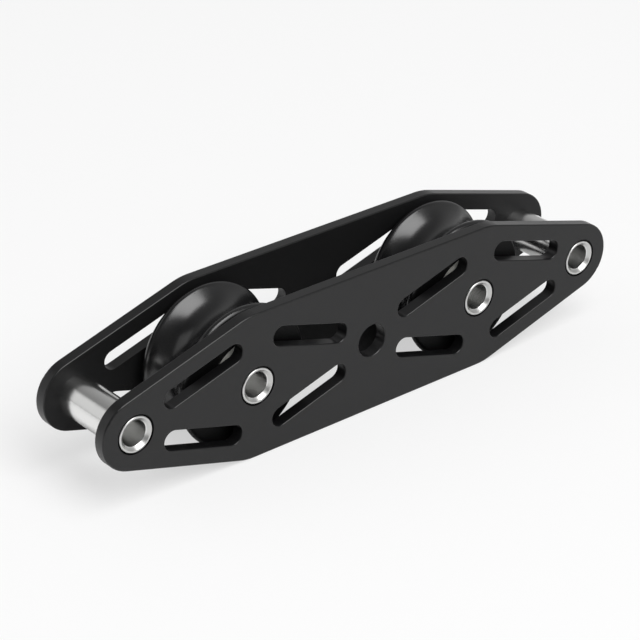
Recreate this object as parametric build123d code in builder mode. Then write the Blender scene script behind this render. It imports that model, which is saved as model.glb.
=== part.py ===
from build123d import *

import os
from math import asin, floor, pi, radians, sin, tan

os.makedirs("parts", exist_ok=True)

# A double rope deck organizer, standing on the lower edges of its two side plates.
# X runs along the plates, Y along the axles and Z up; the origin is under the middle.
# The front plate is on the -Y side and the rear plate, which lies on a deck, on the +Y side.

# Side plates: a stretched hexagon with five holes in a row
hole_pitch = 45.0
plate_height = 48.8
plate_thickness = 4.0
plate_gap = 25.0
plate_end_radius = 11.7
plate_shoulder_radius = 20.0
flank_angle = 16.5
plate_outer_round = 0.5
plate_inner_round = 0.4
centre_hole_radius = 5.4
centre_hole_chamfer = 0.2

# Slots in the plates, four around each axle, placed from the axle's axis
slot_length = 29.8
slot_width = 6.5
slot_reach = 20.25
slot_rise = 10.4
slot_round = 0.4

# Hollow shouldered pins: one at each end and one as each sheave's axle
pin_end_radius = 5.8
pin_body_radius = 6.5
pin_bore_radius = 4.2
pin_mouth_chamfer = 1.0
pin_rim_chamfer = 0.12
pin_hole_clearance = 0.1
pin_hole_countersink = 0.5

# Sheaves with a round rope groove between two fully rounded rims
sheave_rim_radius = 23.4
groove_depth = 4.2
rim_round = 1.55
sheave_side_clearance = 2.15

# Rollers between axle and sheave, kept apart by a cage with snap-in pockets
roller_radius = 2.0
roller_clearance = 0.05
roller_chamfer = 0.25
cage_wall = 2.3
cage_bar = 0.9
cage_end_ring = 1.5
cage_end_play = 0.3
pocket_clearance = 0.15
pocket_end_play = 0.1

# Retaining caps in the sheave's sides, and thrust washers against the plates
cap_ledge = 2.4
cap_fit = 0.02
cap_thickness = 1.7
cap_recess = 0.6
cap_axle_clearance = 0.5
washer_running_clearance = 0.3
washer_rim_clearance = 0.6
washer_axle_clearance = 0.05

# Places that follow from the sizes above
axle_height = plate_height / 2
inner_face = plate_gap / 2
outer_face = inner_face + plate_thickness
end_pin_places = {"left": -2 * hole_pitch, "right": 2 * hole_pitch}
axle_places = {"left": -hole_pitch, "right": hole_pitch}
flank_tip = 2 * hole_pitch + plate_end_radius / sin(radians(flank_angle))
shoulder = flank_tip - axle_height / tan(radians(flank_angle))

# Widths inside a sheave, each measured from its middle towards a plate
sheave_side = inner_face - sheave_side_clearance
rim_middle = sheave_side - rim_round
cap_outer = sheave_side - cap_recess
cap_inner = cap_outer - cap_thickness
cage_end = cap_inner - cage_end_play
pocket_end = cage_end - cage_end_ring
roller_end = pocket_end - pocket_end_play
washer_inner = cap_outer + washer_running_clearance

# Radii of a sheave and what it holds, from the axle outwards
roller_pitch_radius = pin_body_radius + roller_clearance + roller_radius
race_radius = roller_pitch_radius + roller_radius + roller_clearance
cap_seat_radius = race_radius + cap_ledge
groove_root_radius = sheave_rim_radius - groove_depth
rim_round_radius = sheave_rim_radius - rim_round
pocket_radius = roller_radius + pocket_clearance
roller_count = floor(pi / asin((pocket_radius + cage_bar / 2) / roller_pitch_radius))

# Groove section: an arc that touches the rounds of both rims
groove_arc = (rim_middle**2 + (groove_depth - rim_round) ** 2 - rim_round**2) / (2 * groove_depth)
groove_arc_centre = groove_root_radius + groove_arc
groove_share = groove_arc / (groove_arc + rim_round)
groove_side = rim_middle * groove_share
groove_side_radius = groove_arc_centre + (rim_round_radius - groove_arc_centre) * groove_share


def across_axles(x, y):
    """Drawing plane seen from the front, with its origin on the axle line at x."""
    return Plane(origin=(x, y, axle_height), x_dir=(1, 0, 0), z_dir=(0, -1, 0))


def along_axle(x):
    """Drawing plane for turned pieces: first axis along the axle at x, second axis the radius."""
    return Plane(origin=(x, 0, axle_height), x_dir=(0, 1, 0), z_dir=(1, 0, 0))


def axle_axis(x):
    return Axis((x, 0, axle_height), (0, 1, 0))


def save(builder, label):
    builder.part.label = label
    export_step(builder.part, f"parts/{label}.step")


# Front plate: outline with both edges rounded
with BuildPart() as front_plate:
    with BuildSketch(across_axles(0, -inner_face)) as outline:
        with BuildLine():
            Polyline(
                (-flank_tip, 0),
                (-shoulder, axle_height),
                (shoulder, axle_height),
                (flank_tip, 0),
                (shoulder, -axle_height),
                (-shoulder, -axle_height),
                close=True,
            )
        make_face()
        tips = outline.vertices().group_by(Axis.X)[0] + outline.vertices().group_by(Axis.X)[-1]
        fillet(tips, radius=plate_end_radius)
        shoulders = (
            outline.vertices().group_by(Axis.Y)[0] + outline.vertices().group_by(Axis.Y)[-1]
        )
        fillet(shoulders, radius=plate_shoulder_radius)
    extrude(amount=plate_thickness)
    fillet(front_plate.faces().sort_by(Axis.Y)[0].edges(), radius=plate_outer_round)
    fillet(front_plate.faces().sort_by(Axis.Y)[-1].edges(), radius=plate_inner_round)

    # Slots: the outer ones lie parallel to the flanks, the inner ones mirror them
    with BuildSketch(across_axles(0, -outer_face)):
        for axle_x in axle_places.values():
            for side_x, side_z in ((-1, -1), (-1, 1), (1, -1), (1, 1)):
                with Locations((axle_x + side_x * slot_reach, side_z * slot_rise)):
                    SlotOverall(slot_length, slot_width, rotation=-side_x * side_z * flank_angle)
    extrude(amount=-plate_thickness, mode=Mode.SUBTRACT)
    slot_edges = [
        edge
        for rim in front_plate.faces().sort_by(Axis.Y)[0].inner_wires()
        for edge in rim.edges()
    ]
    fillet(slot_edges, radius=slot_round)

    # Holes for the pins and axles, countersunk on the outside, and the plain centre hole
    with Locations(across_axles(0, -outer_face)):
        with Locations(*[(x, 0) for x in (*end_pin_places.values(), *axle_places.values())]):
            CounterSinkHole(
                radius=pin_end_radius + pin_hole_clearance,
                counter_sink_radius=pin_end_radius + pin_hole_clearance + pin_hole_countersink,
                depth=plate_thickness,
                counter_sink_angle=90,
            )
        CounterSinkHole(
            radius=centre_hole_radius,
            counter_sink_radius=centre_hole_radius + centre_hole_chamfer,
            depth=plate_thickness,
            counter_sink_angle=90,
        )
save(front_plate, "front_plate")

# Rear plate: the front plate's mirror image
with BuildPart() as rear_plate:
    mirror(front_plate.part, about=Plane.XZ)
save(rear_plate, "rear_plate")


def hollow_pin(x):
    """Turned tube whose body is a shoulder between the plates and whose ends fill their holes."""
    with BuildPart() as pin:
        with BuildSketch(along_axle(x)):
            with BuildLine():
                Polyline(
                    (0, pin_body_radius),
                    (inner_face, pin_body_radius),
                    (inner_face, pin_end_radius),
                    (outer_face - pin_rim_chamfer, pin_end_radius),
                    (outer_face, pin_end_radius - pin_rim_chamfer),
                    (outer_face, pin_bore_radius + pin_mouth_chamfer),
                    (outer_face - pin_mouth_chamfer, pin_bore_radius),
                    (0, pin_bore_radius),
                )
                mirror(about=Plane.YZ)
            make_face()
        revolve(axis=axle_axis(x))
    return pin


for side, x in end_pin_places.items():
    save(hollow_pin(x), f"{side}_end_pin")
for side, x in axle_places.items():
    save(hollow_pin(x), f"{side}_axle")


def sheave(x):
    """Grooved wheel with a roller race in its bore and a seat for a cap in each side."""
    with BuildPart() as wheel:
        with BuildSketch(along_axle(x)):
            with BuildLine():
                ThreePointArc(
                    (-groove_side, groove_side_radius),
                    (0, groove_root_radius),
                    (groove_side, groove_side_radius),
                )
                ThreePointArc(
                    (groove_side, groove_side_radius),
                    (rim_middle, sheave_rim_radius),
                    (sheave_side, rim_round_radius),
                )
                Polyline(
                    (sheave_side, rim_round_radius),
                    (sheave_side, cap_seat_radius),
                    (cap_inner, cap_seat_radius),
                    (cap_inner, race_radius),
                    (-cap_inner, race_radius),
                    (-cap_inner, cap_seat_radius),
                    (-sheave_side, cap_seat_radius),
                    (-sheave_side, rim_round_radius),
                )
                ThreePointArc(
                    (-sheave_side, rim_round_radius),
                    (-rim_middle, sheave_rim_radius),
                    (-groove_side, groove_side_radius),
                )
            make_face()
        revolve(axis=axle_axis(x))
    return wheel


def rollers(x):
    """Ring of loose cylinders, each chamfered at both ends."""
    with BuildPart() as ring:
        with BuildSketch(across_axles(x, 0)):
            with PolarLocations(roller_pitch_radius, roller_count):
                Circle(roller_radius)
        extrude(amount=roller_end, both=True)
        chamfer(ring.edges().filter_by(GeomType.CIRCLE), length=roller_chamfer)
    return ring


def roller_cage(x):
    """Sleeve at the rollers' pitch circle with one pocket for each roller."""
    with BuildPart() as sleeve:
        with BuildSketch(across_axles(x, 0)):
            Circle(roller_pitch_radius + cage_wall / 2)
            Circle(roller_pitch_radius - cage_wall / 2, mode=Mode.SUBTRACT)
        extrude(amount=cage_end, both=True)
        with BuildSketch(across_axles(x, 0)):
            with PolarLocations(roller_pitch_radius, roller_count):
                Circle(pocket_radius)
        extrude(amount=pocket_end, both=True, mode=Mode.SUBTRACT)
    return sleeve


def flat_ring(x, near_side, far_side, outer_radius, inner_radius):
    """Washer-shaped ring on the axle at x, between two distances from the sheave's middle."""
    with BuildPart() as ring:
        with BuildSketch(across_axles(x, near_side)):
            Circle(outer_radius)
            Circle(inner_radius, mode=Mode.SUBTRACT)
        extrude(amount=near_side - far_side)
    return ring


# The two sheaves with everything that turns in them or beside them
for side, x in axle_places.items():
    save(sheave(x), f"{side}_sheave")
    save(rollers(x), f"{side}_rollers")
    save(roller_cage(x), f"{side}_roller_cage")
    for face, sign in (("front", -1), ("rear", 1)):
        cap = flat_ring(
            x,
            sign * cap_inner,
            sign * cap_outer,
            cap_seat_radius - cap_fit,
            pin_body_radius + cap_axle_clearance,
        )
        save(cap, f"{side}_{face}_cap")
        washer = flat_ring(
            x,
            sign * washer_inner,
            sign * inner_face,
            cap_seat_radius - washer_rim_clearance,
            pin_body_radius + washer_axle_clearance,
        )
        save(washer, f"{side}_{face}_washer")
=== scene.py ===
import math

import bpy
from mathutils import Matrix, Vector


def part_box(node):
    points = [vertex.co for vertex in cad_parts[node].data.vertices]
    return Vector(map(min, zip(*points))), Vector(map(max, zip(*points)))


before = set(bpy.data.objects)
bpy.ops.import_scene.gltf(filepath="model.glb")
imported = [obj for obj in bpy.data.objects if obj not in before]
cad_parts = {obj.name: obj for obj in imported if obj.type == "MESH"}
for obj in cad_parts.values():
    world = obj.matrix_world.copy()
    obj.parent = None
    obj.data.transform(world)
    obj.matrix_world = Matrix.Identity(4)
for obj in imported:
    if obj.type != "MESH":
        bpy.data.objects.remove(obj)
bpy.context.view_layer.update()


# Side plates: the two slotted plates that carry everything. They are milled from
# aluminium with rounded edges, blasted to an even grain and anodised black.
class Reading:
    """A shader socket that can be added, multiplied and so on like a number."""

    def __init__(self, works, socket):
        self.works, self.socket = works, socket

    def maths(self, operation, first, second=0.0):
        """One Math node with the operation, fed by readings or numbers."""
        return self.works.node("Math", {"operation": operation}, {0: first, 1: second})

    def __add__(self, other):
        return self.maths("ADD", self, other)

    def __radd__(self, other):
        return self.maths("ADD", other, self)

    def __sub__(self, other):
        return self.maths("SUBTRACT", self, other)

    def __rsub__(self, other):
        return self.maths("SUBTRACT", other, self)

    def __mul__(self, other):
        return self.maths("MULTIPLY", self, other)

    def __rmul__(self, other):
        return self.maths("MULTIPLY", other, self)

    def __abs__(self):
        return self.maths("ABSOLUTE", self)

    def root(self):
        return self.maths("SQRT", self)

    def outputs(self):
        """Every output of the node that the reading comes from."""
        return [Reading(self.works, output) for output in self.socket.node.outputs]


class Works:
    """A node tree, of a material or of the world, that gets all its nodes by one method."""

    def __init__(self, owner):
        owner.use_nodes = True
        self.tree = owner.node_tree

    def node(self, kind, settings, sockets, output=0):
        """Makes a node, sets its settings, then fills its sockets with values or links."""
        made = self.tree.nodes.new("ShaderNode" + kind)
        for name, value in settings.items():
            setattr(made, name, value)
        for name, value in sockets.items():
            if isinstance(value, Reading):
                self.tree.links.new(value.socket, made.inputs[name])
            else:
                made.inputs[name].default_value = value
        return Reading(self, made.outputs[output])

    def place(self):
        """The point on the piece in the object's own frame, in metres."""
        return self.node("TexCoord", {}, {}, "Object")

    def axes(self, point):
        """The three coordinates of a point as separate readings."""
        return self.node("SeparateXYZ", {}, {"Vector": point}).outputs()

    def noise(self, point, scale, detail=2.0):
        """Noise between 0 and 1 with blotches of about one metre divided by the scale."""
        return self.node("TexNoise", {}, {"Vector": point, "Scale": scale, "Detail": detail})

    def step(self, reading, start, end, low=0.0, high=1.0):
        """Runs smoothly from low to high as the reading runs from start to end."""
        run = {"Value": reading, "From Min": start, "From Max": end}
        ends = {"To Min": low, "To Max": high}
        return self.node("MapRange", {"interpolation_type": "SMOOTHSTEP"}, {**run, **ends})


class Finish(Works):
    """A material round one Principled shader."""

    def __init__(self, name, colour, **fixed):
        self.material = bpy.data.materials.new(name)
        super().__init__(self.material)
        self.shader = self.tree.nodes["Principled BSDF"]
        self.shader.inputs["Base Color"].default_value = (*colour, 1.0)
        for socket, value in fixed.items():
            self.shader.inputs[socket.replace("_", " ")].default_value = value

    def blend(self, amount, low, high):
        """A colour that runs from low to high as the amount runs from 0 to 1."""
        colours = {0: amount, 6: (*low, 1.0), 7: (*high, 1.0)}
        return self.node("Mix", {"data_type": "RGBA"}, colours, 2)

    def relief(self, height, depth, strength):
        """Normals of a surface whose height, from 0 to 1, stands for a depth in metres."""
        return self.node("Bump", {}, {"Height": height, "Distance": depth, "Strength": strength})

    def feed(self, **links):
        """Links readings to the shader's sockets, named with _ for a space."""
        for socket, reading in links.items():
            self.tree.links.new(reading.socket, self.shader.inputs[socket.replace("_", " ")])

    def put_on(self, *names):
        """Gives the finish to pieces of the frame."""
        for name in names:
            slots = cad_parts[name].data.materials
            slots.clear()
            slots.append(self.material)


hole_pitch = 0.045
axle_low, axle_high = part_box("left_axle")
axle_height, outer_face = (axle_low.z + axle_high.z) / 2, axle_high.y
inner_face = -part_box("front_plate")[1].y


def turned(works, ring_scale):
    """Rings cut by a lathe, the distance from the nearest pin's axis, and the depth along it.

    The pins stand one and two hole pitches from the middle, to both sides, and are folded here
    onto one: x is the sideways distance from it. The rings are noise over the distance and
    the depth, and stay the same all the way round the pin."""
    across, depth, height = works.axes(works.place())
    x = abs(abs(across) - 1.5 * hole_pitch) - hole_pitch / 2
    up = height - axle_height
    radius = (x * x + up * up).root()
    rings = works.noise(works.node("CombineXYZ", {}, {"X": radius, "Y": depth}), ring_scale)
    return rings, radius, abs(depth)


plate_dark, plate_light = (0.0035, 0.0035, 0.0038), (0.0065, 0.0065, 0.0069)
plate_grain_scale, plate_grain_depth, plate_cloud_scale = 3500.0, 0.00002, 45.0
plate_roughness, plate_patchiness, milled_smoothness = 0.56, 0.06, 0.28
plate_gloss, plate_grain_strength, inner_face_painted_shade = 0.45, 0.5, 0.35
face_skin, edge_skin = 0.00001, 0.00003
countersink_radius, countersink_fade = 0.0064, 0.00005
plate = Finish("black_anodised_plate", plate_light, Specular_IOR_Level=plate_gloss)
plate_cloud = plate.noise(plate.place(), plate_cloud_scale)
plate_grain = plate.noise(plate.place(), plate_grain_scale)
_, plate_radius, plate_depth = turned(plate, plate_grain_scale)
past_inner_face = plate.step(plate_depth, inner_face + face_skin, inner_face + edge_skin)
at_outer_face = plate.step(plate_depth, outer_face - edge_skin, outer_face - face_skin)
milled_edge = past_inner_face - at_outer_face
# Painted shade: the countersink round each pin is made metallic on the near-black base so it
# reflects almost nothing and reads as a dark ring round the pin.
countersink_painted_shade = 1.0 - plate.step(
    plate_radius, countersink_radius, countersink_radius + countersink_fade
)
# Painted shade: the inner faces, which face each other between the plates, get part metallic on
# the near-black base so they reflect less and look darker.
plate.feed(
    Base_Color=plate.blend(plate_cloud, plate_dark, plate_light),
    Metallic=countersink_painted_shade + inner_face_painted_shade * (1.0 - past_inner_face),
    Roughness=plate_roughness + plate_patchiness * plate_cloud - milled_smoothness * milled_edge,
    Normal=plate.relief(plate_grain, plate_grain_depth, plate_grain_strength),
)
plate.put_on("front_plate", "rear_plate")

# End pins and axles: four tubes turned from stainless bar, with a shoulder at each
# plate and a chamfered mouth. Their barrels are polished, their ends and bores less so.
steel_bright, steel_grey = (0.80, 0.80, 0.79), (0.58, 0.58, 0.57)
steel_ring_scale, steel_ring_depth, steel_ring_strength = 6000.0, 0.00001, 0.5
steel_haze_scale = 250.0
barrel_roughness, ring_roughness, haze_roughness = 0.13, 0.05, 0.07
bore_roughness, end_roughness = 0.06, 0.14
bore_edge, barrel_edge, end_length = 0.00425, 0.0048, 0.0011
steel = Finish("turned_stainless", steel_bright, Metallic=1.0)
steel_rings, steel_radius, steel_depth = turned(steel, steel_ring_scale)
steel_haze = steel.noise(steel.place(), steel_haze_scale)
drilled = 1.0 - steel.step(steel_radius, bore_edge, barrel_edge)
faced_end = steel.step(steel_depth, outer_face - end_length, outer_face - end_length / 2)
steel.feed(
    Base_Color=steel.blend(faced_end, steel_bright, steel_grey),
    Roughness=barrel_roughness
    + ring_roughness * steel_rings
    + haze_roughness * steel_haze
    + bore_roughness * drilled
    + end_roughness * faced_end,
    Normal=steel.relief(steel_rings, steel_ring_depth, steel_ring_strength),
)
steel.put_on("left_end_pin", "right_end_pin", "left_axle", "right_axle")

# Thrust washers: thin off-white plastic rings on the axles, against the plates. They
# keep the sheaves in the middle and are stamped from sheet.
washer_white, washer_cream = (0.74, 0.73, 0.69), (0.68, 0.67, 0.61)
washer_cloud_scale, washer_roughness, washer_patchiness = 900.0, 0.40, 0.12
washer = Finish("washer_plastic", washer_white)
washer_cloud = washer.noise(washer.place(), washer_cloud_scale)
washer.feed(
    Base_Color=washer.blend(washer_cloud, washer_white, washer_cream),
    Roughness=washer_roughness + washer_patchiness * washer_cloud,
)
flanks = [f"{side}_{face}" for side in ("left", "right") for face in ("front", "rear")]
washer.put_on(*[flank + "_washer" for flank in flanks])

# Sheaves: grooved wheels turned from aluminium, polished where the rope runs, flat and rougher at
# the sides, and anodised black. Each turns on its rollers.
# Their flat sides are also made part metallic on the near-black base, so they reflect almost
# nothing: painted shade.
sheave_dark, sheave_light = (0.003, 0.003, 0.0032), (0.006, 0.006, 0.0064)
sheave_ring_scale, sheave_ring_depth, sheave_ring_strength = 4000.0, 0.00001, 0.25
sheave_cloud_scale, sheave_gloss = 120.0, 0.75
groove_roughness, groove_ring_roughness, groove_patchiness = 0.20, 0.03, 0.05
side_roughness, sheave_side_painted_shade, side_fade = 0.30, 0.75, 0.0008
sheave_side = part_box("left_sheave")[1].y
sheave = Finish("black_sheave", sheave_light, Specular_IOR_Level=sheave_gloss)
sheave_rings, _, sheave_depth = turned(sheave, sheave_ring_scale)
sheave_cloud = sheave.noise(sheave.place(), sheave_cloud_scale)
flat_side = sheave.step(sheave_depth, sheave_side - side_fade, sheave_side)
# Painted shade: the metallic amount on the flat sides darkens the sides that sit against the
# plates.
sheave.feed(
    Base_Color=sheave.blend(sheave_cloud, sheave_dark, sheave_light),
    Roughness=groove_roughness
    + groove_ring_roughness * sheave_rings
    + groove_patchiness * sheave_cloud
    + side_roughness * flat_side,
    Metallic=sheave_side_painted_shade * flat_side,
    Normal=sheave.relief(sheave_rings, sheave_ring_depth, sheave_ring_strength),
)
sheave.put_on("left_sheave", "right_sheave")

# Rollers: the ring of loose cylinders that each sheave turns on, cut from a tough
# amber-grey plastic rod.
roller_amber, roller_grey = (0.37, 0.34, 0.21), (0.32, 0.31, 0.23)
roller_haze_scale, roller_roughness, roller_patchiness = 1200.0, 0.26, 0.10
roller = Finish("roller_plastic", roller_amber)
roller_haze = roller.noise(roller.place(), roller_haze_scale)
roller.feed(
    Base_Color=roller.blend(roller_haze, roller_amber, roller_grey),
    Roughness=roller_roughness + roller_patchiness * roller_haze,
)
roller.put_on("left_rollers", "right_rollers")

# Cages and caps: black mouldings with a fine matt grain. A cage spaces the rollers, and
# a cap is pressed into each side of a sheave to keep them in.
moulding_black, moulding_grey = (0.012, 0.012, 0.012), (0.018, 0.018, 0.018)
moulding_grain_scale, moulding_grain_depth, moulding_grain_strength = 2500.0, 0.00002, 0.4
moulding_roughness, moulding_patchiness = 0.42, 0.12
moulding = Finish("black_moulding", moulding_black)
moulding_grain = moulding.noise(moulding.place(), moulding_grain_scale)
moulding.feed(
    Base_Color=moulding.blend(moulding_grain, moulding_black, moulding_grey),
    Roughness=moulding_roughness + moulding_patchiness * moulding_grain,
    Normal=moulding.relief(moulding_grain, moulding_grain_depth, moulding_grain_strength),
)
moulding.put_on("left_roller_cage", "right_roller_cage", *[flank + "_cap" for flank in flanks])


# Floor: a wide pale table that runs out of view. Part of what the camera and shiny
# surfaces see of it is its own even white, so that the organizer's shadow stays light.
def seen_rays(works):
    """Two readings: 1 for the camera's rays, and 1 for the rays that mirror or pass through."""
    straight, glossy, through = [
        works.node("LightPath", {}, {}, f"Is {kind} Ray")
        for kind in ("Camera", "Glossy", "Transmission")
    ]
    return straight, (1.0 - straight) * (glossy + through)


floor_half, floor_grey, floor_white, floor_roughness = 6.0, 0.90, 0.96, 0.8
seen_evenness, mirrored_evenness = 0.60, 0.04
floor_mesh = bpy.data.meshes.new("floor")
floor_signs = [(-1, -1), (1, -1), (1, 1), (-1, 1)]
floor_corners = [(x * floor_half, y * floor_half, 0.0) for x, y in floor_signs]
floor_mesh.from_pydata(floor_corners, [], [range(4)])
floor = bpy.data.objects.new("floor", floor_mesh)
bpy.context.scene.collection.objects.link(floor)
table = Finish("pale_floor", (floor_grey,) * 3, Roughness=floor_roughness)
table_output = table.tree.nodes["Material Output"]
table_white = table.node("Emission", {}, {"Color": (*(floor_white,) * 3, 1.0), "Strength": 1.0})
table_seen, table_mirrored = seen_rays(table)
table_evenness = seen_evenness * table_seen + mirrored_evenness * table_mirrored
table_lit = Reading(table, table.shader.outputs[0])
table_look = table.node("MixShader", {}, {0: table_evenness, 1: table_lit, 2: table_white})
table.tree.links.new(table_look.socket, table_output.inputs["Surface"])
floor_mesh.materials.append(table.material)

# Room: white to the camera. Shiny surfaces see it white near the floor and grey above,
# darker towards the left end, and matt ones get an even light from it.
room_light, horizon_height = 0.40, 0.11
dark_wall, light_wall, ceiling_share = 0.14, 0.42, 0.6
dark_end, light_end, ceiling_start, ceiling_end = -0.7, 0.2, 0.5, 0.85
world = bpy.data.worlds.new("studio")
bpy.context.scene.world = world
room = Works(world)
room_seen, room_mirrored = seen_rays(room)
sideways, _, upward = room.axes(room.node("TexCoord", {}, {}, "Generated"))
above_horizon = room.step(upward, 0.0, horizon_height)
wall = room.step(sideways, dark_end, light_end, dark_wall, light_wall)
wall = wall * room.step(upward, ceiling_start, ceiling_end, 1.0, ceiling_share)
around = 1.0 - above_horizon + above_horizon * wall
white = {"Color": (1.0, 1.0, 1.0, 1.0)}
lighting = room.node("Background", {}, {**white, "Strength": room_light})
backdrop = room.node("Background", {}, {**white, "Strength": room_seen + room_mirrored * around})
sky = room.node("MixShader", {}, {0: room_seen + room_mirrored, 1: lighting, 2: backdrop})
room.tree.links.new(sky.socket, room.tree.nodes["World Output"].inputs["Surface"])


# Lamps: a large softbox above the front plate, and a pale card behind the left end that
# the pins mirror.
def soft_lamp(name, toward, distance, width, height, brightness):
    """A flat lamp that faces the organizer's middle and glows evenly, at 1 as bright as white."""
    lamp = bpy.data.lights.new(name, "AREA")
    lamp.shape, lamp.size, lamp.size_y = "RECTANGLE", width, height
    lamp.energy = brightness * math.pi * width * height
    holder = bpy.data.objects.new(name, lamp)
    bpy.context.scene.collection.objects.link(holder)
    outwards = Vector(toward).normalized()
    holder.location = middle + outwards * distance
    holder.rotation_euler = (-outwards).to_track_quat("-Z", "Y").to_euler()


middle = Vector((0.0, 0.0, axle_height))
lamp_distance = 2.4
softbox_width, softbox_height, softbox_brightness = 1.65, 2.4, 4.6
card_width, card_height, card_brightness = 1.6, 1.8, 0.60
above_front_plate, behind_left_end = (0.02, -0.55, 0.83), (-0.66, 0.55, 0.42)
softbox_size, card_size = (softbox_width, softbox_height), (card_width, card_height)
soft_lamp("front_softbox", above_front_plate, lamp_distance, *softbox_size, softbox_brightness)
soft_lamp("rear_card", behind_left_end, lamp_distance, *card_size, card_brightness)

# Camera: a long lens that looks down on the near end and the front plate. Its place is
# given by the direction from the organizer's middle and a small shift of the aim.
camera_azimuth, camera_elevation, camera_roll = -41.114, 28.384, 1.387
camera_distance, lens_mm = 0.79937, 145.134
aim_right, aim_up = -0.005238, 0.000109
azimuth, elevation = math.radians(camera_azimuth), math.radians(camera_elevation)
backwards = Vector(
    (
        math.sin(azimuth) * math.cos(elevation),
        -math.cos(azimuth) * math.cos(elevation),
        math.sin(elevation),
    )
)
level = Vector((math.cos(azimuth), math.sin(azimuth), 0.0))
rightwards = Matrix.Rotation(math.radians(camera_roll), 3, backwards) @ level
upwards = backwards.cross(rightwards)
stand = middle + aim_right * rightwards + aim_up * upwards + camera_distance * backwards
camera_data = bpy.data.cameras.new("camera")
camera_data.lens = lens_mm
camera = bpy.data.objects.new("camera", camera_data)
turn = Matrix((rightwards, upwards, backwards)).transposed().to_4x4()
camera.matrix_world = Matrix.Translation(stand) @ turn
bpy.context.scene.collection.objects.link(camera)
bpy.context.scene.camera = camera
bpy.context.scene.view_settings.view_transform = "Standard"
